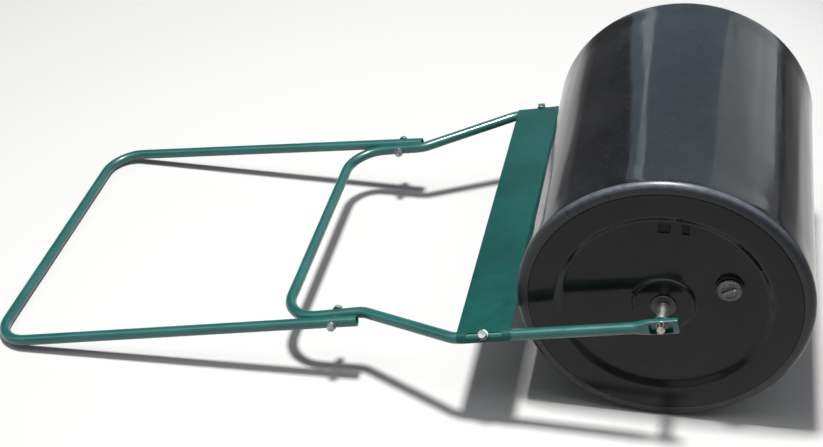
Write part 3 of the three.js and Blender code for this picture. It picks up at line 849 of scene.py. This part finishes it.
def split_pin(label, sign):
    """Half-round wire folded to an eye, its two legs bent apart below the axle."""
    half = PIN_SPREAD / 2
    neck = AXLE_RADIUS + 1.5
    eye = neck + 2
    leg = [
        (half + PIN_TIP, -PIN_DROP + 0.8), (half, -PIN_DROP), (half, neck),
        (PIN_EYE, eye), (PIN_EYE, eye + 1.6 * PIN_EYE),
    ]
    corners = [(-x, 0, z) for x, z in leg] + [(x, 0, z) for x, z in reversed(leg)]
    bends = [1.3, 1.2, 1.5, 3.2]
    route = bent_route(corners, [*bends, *reversed(bends)], 8, 4)
    rings = swept(route, PIN_WIRE, Vector((0, 1, 0)), 16)
    tips = [tuple(sum((Vector(v) for v in ring), Vector()) / len(ring)) for ring in
            (rings[0], rings[-1])]
    place = AXLE @ at(0, sign * PIN_Y * MM)
    return mesh_object(f"pin_{label}", *stitch(rings, poles=tips), place)


flat_half = TUBE_RADIUS * (1 - PRESS_THIN)
arm_inner = ARM_Y - flat_half
washer_low = arm_inner - GAP - AXLE_WASHER_THICKNESS
small_low = ARM_Y + POCKET_FLOOR + GAP
piece(axle_rod(), "frame", steel, "bare_steel", "axle_rod")
for label, sign in SIDES:
    for stem, node, outer, low, high, soft, material in (
        ("spacer", "axle_spacer", SPACER_RADIUS, flange_face + GAP, washer_low - GAP, 0.6,
         spacer_zinc),
        ("disc", "axle_washer", AXLE_WASHER_RADIUS, washer_low, arm_inner - GAP, 0.5, zinc),
        ("pin_disc", "pin_washer", SMALL_WASHER_RADIUS, small_low,
         small_low + SMALL_WASHER_THICKNESS, 0.35, zinc),
    ):
        span = (low, high) if sign > 0 else (-high, -low)
        solid = ring_about_y(outer, SPACER_BORE, *span, soft)
        made = mesh_object(f"{stem}_{label}", *solid, AXLE)
        piece(made, "frame", material, "zinc", f"{node}_{label}")
    piece(split_pin(label, sign), "frame", pin_steel, "zinc", f"split_pin_{label}")


# ---- Lower frame ----
TUBE_FACETS = 64
DRILL_REACH = 14
DRILL_FACETS = 32
END_ROUND = 3
PRESS_STATION = 2.6


def taper(distance):
    """How far out a leg of the lower frame is, at a distance ahead of the pivot."""
    return LOWER_PIVOT_Y - LEG_TAPER * distance


def smoothstep(x, low, high):
    """0 up to low, 1 from high on, smooth between."""
    t = min(1, max(0, (x - low) / (high - low)))
    return t * t * (3 - 2 * t)


def drill(spot=(0, 0, 0)):
    """What a bolt hole takes out, along Y."""
    return cylinder(BOLT_HOLE, -DRILL_REACH, DRILL_REACH, DRILL_FACETS, at=spot)


def lower_frame():
    """One tube from axle to axle, its ends pressed flat and tall and dished on the outside."""
    near = [
        (ARM_FRONT, ARM_Y), (KNEE_X, ARM_Y),
        (JOGGLE_X, taper(JOGGLE_X + PIVOT_DISTANCE)),
        (CROSSBAR_X, taper(CROSSBAR_X + PIVOT_DISTANCE)),
    ]
    corners = [(x, -y, 0) for x, y in near] + [(x, y, 0) for x, y in reversed(near)]
    bends = [KNEE_BEND, KNEE_BEND, CROSSBAR_BEND]
    route = bent_route(corners, [*bends, *reversed(bends)], 16)
    ends = [ARM_FRONT - END_ROUND * (1 - math.cos(k * math.pi / 12)) for k in range(1, 7)]
    ends += [ARM_FRONT - END_ROUND - k * PRESS_STATION for k in range(1, 27)]
    heading = Vector((-1, 0, 0))
    first = [(Vector((x, -ARM_Y, 0)), heading) for x in ends]
    last = [(Vector((x, ARM_Y, 0)), -heading) for x in reversed(ends)]
    middle = [s for s in route if s[0].x < ends[-1] - 2]

    def pressed(point, a, b):
        """The round section turns to a flat, tall one, its very end eased."""
        press = smoothstep(point.x, PRESS_START, PRESS_END)
        power = 2 + 2.2 * press
        fold = (abs(a) ** power + abs(b) ** power) ** (1 / power)
        into = min(1, max(0, (ARM_FRONT - point.x) / END_ROUND))
        cap = math.sqrt(max(0, 1 - (1 - into) ** 2))
        thin = (1 - PRESS_THIN * press) * (0.72 + 0.28 * cap)
        tall = (1 + PRESS_TALL * press) * (0.88 + 0.12 * cap)
        return a / fold * thin, b / fold * tall

    stations = [*first, *middle, *last]
    rings = swept(stations, TUBE_RADIUS, Vector((0, 0, 1)), TUBE_FACETS, pressed)
    verts, faces = stitch(rings)
    n = len(rings[0])
    faces.append(tuple(range(n)))
    faces.append(tuple(range(len(verts) - n, len(verts))))
    tube = mesh_object("lower_frame_tube", verts, faces, FRAME)
    for _, sign in SIDES:
        outline = rounded_box(2 * POCKET_HALF_LENGTH, 2 * POCKET_HALF_HEIGHT, 4)
        pocket = prism(outline, (POCKET_FLOOR, 0.95), (12, 1.2))
        turned_pocket = Matrix.Rotation(0 if sign > 0 else math.pi, 4, "Z")
        combine(tube, moved(pocket, at(0, sign * ARM_Y) @ turned_pocket), "DIFFERENCE")
        combine(tube, cylinder(AXLE_HOLE, -12, 12, 64, at=(0, sign * ARM_Y, 0)), "DIFFERENCE")
        combine(tube, drill((-PIVOT_DISTANCE, sign * LOWER_PIVOT_Y, 0)), "DIFFERENCE")
        combine(tube, moved(drill(), scraper_axis(sign)), "DIFFERENCE")
    return tube


def scraper_axis(sign):
    """Stands a solid drawn along Y on a scraper bolt's line, leaning outward from straight up."""
    middle = (PLATE_BACK + PLATE_FRONT) / 2
    lean = Matrix.Rotation(math.pi / 2 - sign * SCRAPER_BOLT_TILT, 4, "X")
    return at(middle, sign * ARM_Y) @ lean


piece(lower_frame(), "frame", frame_paint, "frame_paint", "lower_frame")


# ---- Scraper plate ----
WRAP_STEPS = 22
FLAT_STEPS = 15
SHEET_COLUMNS = 36
SHEET_EASE = 0.35


def scraper():
    """Sheet rolled over both arms, its corners rounded and its edges eased."""
    inner = TUBE_RADIUS + GAP
    bend = inner + PLATE_THICKNESS / 2
    line = []
    for k in range(WRAP_STEPS):
        angle = PLATE_WRAP * (1 - k / WRAP_STEPS)
        line.append((-ARM_Y - bend * math.sin(angle), bend * math.cos(angle),
                     bend * (PLATE_WRAP - angle)))
    for k in range(FLAT_STEPS + 1):
        y = -ARM_Y + ARM_Y * k / FLAT_STEPS
        line.append((y, bend, bend * PLATE_WRAP + ARM_Y + y))
    whole = [*line, *((-y, z, reach) for y, z, reach in reversed(line[:-1]))]
    middle = (PLATE_BACK + PLATE_FRONT) / 2
    half = (PLATE_FRONT - PLATE_BACK) / 2
    columns = SHEET_COLUMNS
    verts = []
    for y, z, reach in whole:
        corner = max(0, PLATE_CORNER - reach)
        pull = PLATE_CORNER - math.sqrt(max(0, PLATE_CORNER ** 2 - corner ** 2))
        for c in range(columns + 1):
            u = math.sin((c / columns - 0.5) * math.pi)
            u = 0.5 * u + 0.5 * (2 * c / columns - 1)
            verts.append((middle + u * (half - pull), y, z))
    faces = []
    for r in range(len(whole) - 1):
        for c in range(columns):
            a = r * (columns + 1) + c
            faces.append((a, a + 1, a + columns + 2, a + columns + 1))
    plate = mesh_object("scraper_sheet", verts, faces, FRAME)
    solidify = plate.modifiers.new("thickness", "SOLIDIFY")
    solidify.thickness = PLATE_THICKNESS * MM
    solidify.offset = 0
    ease = plate.modifiers.new("ease", "BEVEL")
    ease.width = SHEET_EASE * MM
    ease.segments = 2
    ease.limit_method = "ANGLE"
    ease.angle_limit = 50 * DEG
    apply_modifiers(plate)
    tidy(plate, 40)
    for _, sign in SIDES:
        outline = rounded_box(SLOT_LENGTH, 2 * BOLT_HOLE, BOLT_HOLE * 0.999, 10)
        slot = moved(prism(outline, (4, 1), (16, 1)), scraper_axis(sign))
        combine(plate, slot, "DIFFERENCE", 40)
    return plate


piece(scraper(), "frame", plate_paint, "frame_paint", "scraper_plate")


# ---- Bolts, washers and nuts ----
def hex_radius(angle):
    """The outline of a hexagon, as a radius at each angle."""
    sixth = math.pi / 3
    across = HEX_RADIUS * math.cos(sixth / 2)
    return across / math.cos((angle % sixth) - sixth / 2)


CHAMFER_RADIUS = HEX_RADIUS * math.cos(math.pi / 6) * 0.95
CHAMFER_SLOPE = math.tan(28 * DEG)
BOLT_THREAD_DEPTH = 0.62


def chamfer_drop(angle):
    """How far the chamfer takes a hexagon's corners down."""
    return max(0, hex_radius(angle) - CHAMFER_RADIUS) * CHAMFER_SLOPE


def hex_rings(low, high, both):
    """A hexagon chamfered on top, or on both faces."""
    under = (lambda a: low + chamfer_drop(a)) if both else low
    rings = [(CHAMFER_RADIUS, low)] if both else [(CHAMFER_RADIUS - 1, low), (CHAMFER_RADIUS, low)]
    return [*rings, (hex_radius, under), (hex_radius, lambda a: high - chamfer_drop(a)),
            (CHAMFER_RADIUS, high)]


def threaded(length, run):
    """Rings of a shank from its tip up, the thread running out into plain shank."""
    rings = [(0.01, -length), (BOLT_RADIUS - 1.1, -length)]
    steps = int(run / THREAD_PITCH * 10)
    for k in range(steps + 1):
        t = k / steps
        y = -length + 0.5 + t * run

        def radius(angle, y=y, t=t):
            phase = (y / THREAD_PITCH - angle / (2 * math.pi)) % 1
            depth = BOLT_THREAD_DEPTH * (1 - min(1, abs(phase - 0.5) * 2.3))
            return BOLT_RADIUS - depth * min(1, (1 - t) * 6) - 0.45 * max(0, 1 - t * run)

        rings.append((radius, y))
    return rings


def bolt(length):
    """A hexagon bolt: the shank below the origin, the head above."""
    run = NUT_HEIGHT + BOLT_END + 4
    rings = [*threaded(length, run), (BOLT_RADIUS, 0), *hex_rings(0, HEAD_HEIGHT, False),
             (2.2, HEAD_HEIGHT - 0.25), (0.01, HEAD_HEIGHT - 0.3)]
    return turned(rings, 60, closed=False)


def nut():
    bore = BOLT_HOLE
    lead = 0.7
    rings = [(bore, lead), (bore + lead, 0), *hex_rings(0, NUT_HEIGHT, True),
             (bore + lead, NUT_HEIGHT), (bore, NUT_HEIGHT - lead)]
    return turned(rings, 60)


def fastener(stem, label, place, low, high):
    """A bolt down through two washers into a nut, along the place's own Y."""
    head_seat = high + WASHER_THICKNESS + 2 * GAP
    nut_seat = low - WASHER_THICKNESS - 2 * GAP - NUT_HEIGHT
    washer = ring_about_y(WASHER_RADIUS, BOLT_HOLE, 0, WASHER_THICKNESS, 0.45, 60)
    for kind, solid, seat, twist in (
        ("bolt", bolt(head_seat - nut_seat + BOLT_END), head_seat, 17),
        ("washer", washer, high + GAP, 0),
        ("back_washer", washer, low - GAP - WASHER_THICKNESS, 40),
        ("nut", nut(), nut_seat, 8),
    ):
        spot = place @ at(0, seat * MM) @ Matrix.Rotation(twist * DEG, 4, "Y")
        made = mesh_object(f"{stem}_{kind}_{label}_turned", *solid, spot, 25)
        piece(made, "frame", zinc, "zinc", f"{stem}_{kind}_{label}")


for label, sign in SIDES:
    outward = Matrix.Rotation(0 if sign > 0 else math.pi, 4, "Z")
    pivot = FRAME @ at(-PIVOT_DISTANCE * MM) @ outward
    inside = LOWER_PIVOT_Y - TUBE_RADIUS - TUBE_SEAT
    outside = HANDLE_PIVOT_Y + TUBE_RADIUS + TUBE_SEAT
    fastener("handle", label, pivot, inside, outside)
    axis = scraper_axis(sign)
    axis.translation *= MM
    plate_top = TUBE_RADIUS + GAP + PLATE_THICKNESS
    fastener("scraper", label, FRAME @ axis, -TUBE_RADIUS - GAP, plate_top)


# ---- Handle ----
def handle():
    """The long U of tube, cut square and open at its two ends."""
    def width(distance):
        return HANDLE_PIVOT_Y + LEG_TAPER * distance

    near = [(HANDLE_TAIL, width(-HANDLE_TAIL)), (-HANDLE_LENGTH, width(HANDLE_LENGTH))]
    corners = [(x, -y, 0) for x, y in near] + [(x, y, 0) for x, y in reversed(near)]
    route = bent_route(corners, [HANDLE_BEND, HANDLE_BEND], 20)
    up = Vector((0, 0, 1))
    ease = 0.35
    start, heading = route[0]
    finish, leaving = route[-1]
    eased = [(start, heading), (start + heading * ease, heading), *route[1:-1],
             (finish - leaving * ease, leaving), (finish, leaving)]
    outer = swept(eased, TUBE_RADIUS, up, TUBE_FACETS)
    outer[0] = swept([eased[0]], TUBE_RADIUS - ease, up, TUBE_FACETS)[0]
    outer[-1] = swept([eased[-1]], TUBE_RADIUS - ease, up, TUBE_FACETS)[0]
    inner = swept(route, TUBE_RADIUS - TUBE_WALL, up, TUBE_FACETS)
    tube = mesh_object("handle_bar", *stitch([*outer, *reversed(inner)], closed=True), HANDLE)
    for _, sign in SIDES:
        combine(tube, drill((0, sign * HANDLE_PIVOT_Y, 0)), "DIFFERENCE")
    return tube


piece(handle(), "handle", handle_paint, "frame_paint", "handle_tube")

# The sleeve is shown as the frame carries it, in bare steel.
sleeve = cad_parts["axle_sleeve"]
sleeve.data.materials.clear()
sleeve.data.materials.append(steel)


# ---- Studio ----
def soft_light(name, spot, target, width, height, power, colour):
    """A flat lamp at the spot, facing the target. Metres and watts."""
    data = bpy.data.lights.new(name, "AREA")
    data.shape = "RECTANGLE"
    data.size = width
    data.size_y = height
    data.energy = power
    data.color = colour
    lamp = bpy.data.objects.new(name, data)
    bpy.context.scene.collection.objects.link(lamp)
    lamp.location = spot
    lamp.rotation_mode = "QUATERNION"
    aim = Vector(target) - Vector(spot)
    lamp.rotation_quaternion = aim.to_track_quat("-Z", "Y")
    lamp.visible_camera = False


soft_light("key", (0.12, -0.2, 4.2), (0.12, -0.1, 0), 0.42, 0.42, 420, (1, 0.99, 0.97))
soft_light("back_wall", (0.25, 3.0, 1.7), (0.25, 0, 1.7), 2.5, 2.3, 13, (0.66, 0.86, 1.0))
soft_light("back_window", (2.12, 3.0, 1.7), (2.12, 0, 1.7), 1.25, 2.3, 9.5, (0.88, 0.97, 1.0))
soft_light("back_streak", (-0.6, 2.95, 1.7), (-0.6, 0, 1.7), 0.2, 2.3, 1.6, (0.86, 0.98, 1.0))
soft_light("front_fill", (-1.2, -3.2, 1.8), (0, 0, 0.2), 2.4, 1.6, 8, (1, 0.98, 0.95))


def studio_world():
    """Dim walls, one darker side, and a long bright strip arching overhead from left to right."""
    world = bpy.data.worlds.new("studio")
    bpy.context.scene.world = world
    world.use_nodes = True
    nodes = world.node_tree.nodes
    links = world.node_tree.links
    direction = nodes.new("ShaderNodeTexCoord").outputs["Generated"]

    def towards(vector):
        node = nodes.new("ShaderNodeVectorMath")
        node.operation = "DOT_PRODUCT"
        node.inputs[1].default_value = Vector(vector).normalized()
        links.new(direction, node.inputs[0])
        return node.outputs["Value"]

    def span(source, low, high, to_low, to_high):
        node = nodes.new("ShaderNodeMapRange")
        node.interpolation_type = "SMOOTHSTEP"
        links.new(source, node.inputs["Value"])
        for name, number in (("From Min", low), ("From Max", high),
                             ("To Min", to_low), ("To Max", to_high)):
            node.inputs[name].default_value = number
        return node.outputs["Result"]

    def calculate(operation, first, second=0):
        node = nodes.new("ShaderNodeMath")
        node.operation = operation
        for socket, source in zip(node.inputs, (first, second)):
            if hasattr(source, "links"):
                links.new(source, socket)
            else:
                socket.default_value = source
        return node.outputs[0]

    strip_side = (0, 0.97, 0.243)
    strip_strength = 2.3
    dark_side = (-0.66, 0.70, 0.26)
    overhead = (0, 0, 1)
    off_strip = calculate("ABSOLUTE", towards(strip_side))
    strip = calculate("MULTIPLY", span(off_strip, 0.09, 0.24, 1, 0),
                      span(towards(overhead), 0.12, 0.85, 0.12, 1))
    side = span(towards(dark_side), 0.45, 0.85, 1, 0.25)
    horizon = span(towards(overhead), 0.1, 0.35, 0.4, 0.07)
    walls = calculate("MULTIPLY", side, horizon)
    total = calculate("ADD", walls, calculate("MULTIPLY", strip, strip_strength))
    background = nodes["Background"]
    background.inputs["Color"].default_value = (0.97, 0.98, 1, 1)
    links.new(total, background.inputs["Strength"])


def studio_floor():
    """A painted pool of light: the floor colour is pale near the object and falls to grey far
    away.
    """
    reach = 14000
    corners = [(-reach, -reach, 0), (reach, -reach, 0), (reach, reach, 0), (-reach, reach, 0)]
    floor = mesh_object("floor", corners, [(0, 1, 2, 3)])
    s = Shader("floor")
    away = s.distance(s.coordinates, -0.5, 0.1, 0)
    # Painted light: the paler colour near the object is a pool of light painted on the floor.
    shade = s.blend(s.span(away, 1.4, 2.4), (0.36, 0.36, 0.36), (0.15, 0.15, 0.153))
    s.set(Base_Color=shade, Roughness=0.9)
    s.principled.inputs["Specular IOR Level"].default_value = 0
    floor.data.materials.append(s.material)


studio_world()
studio_floor()
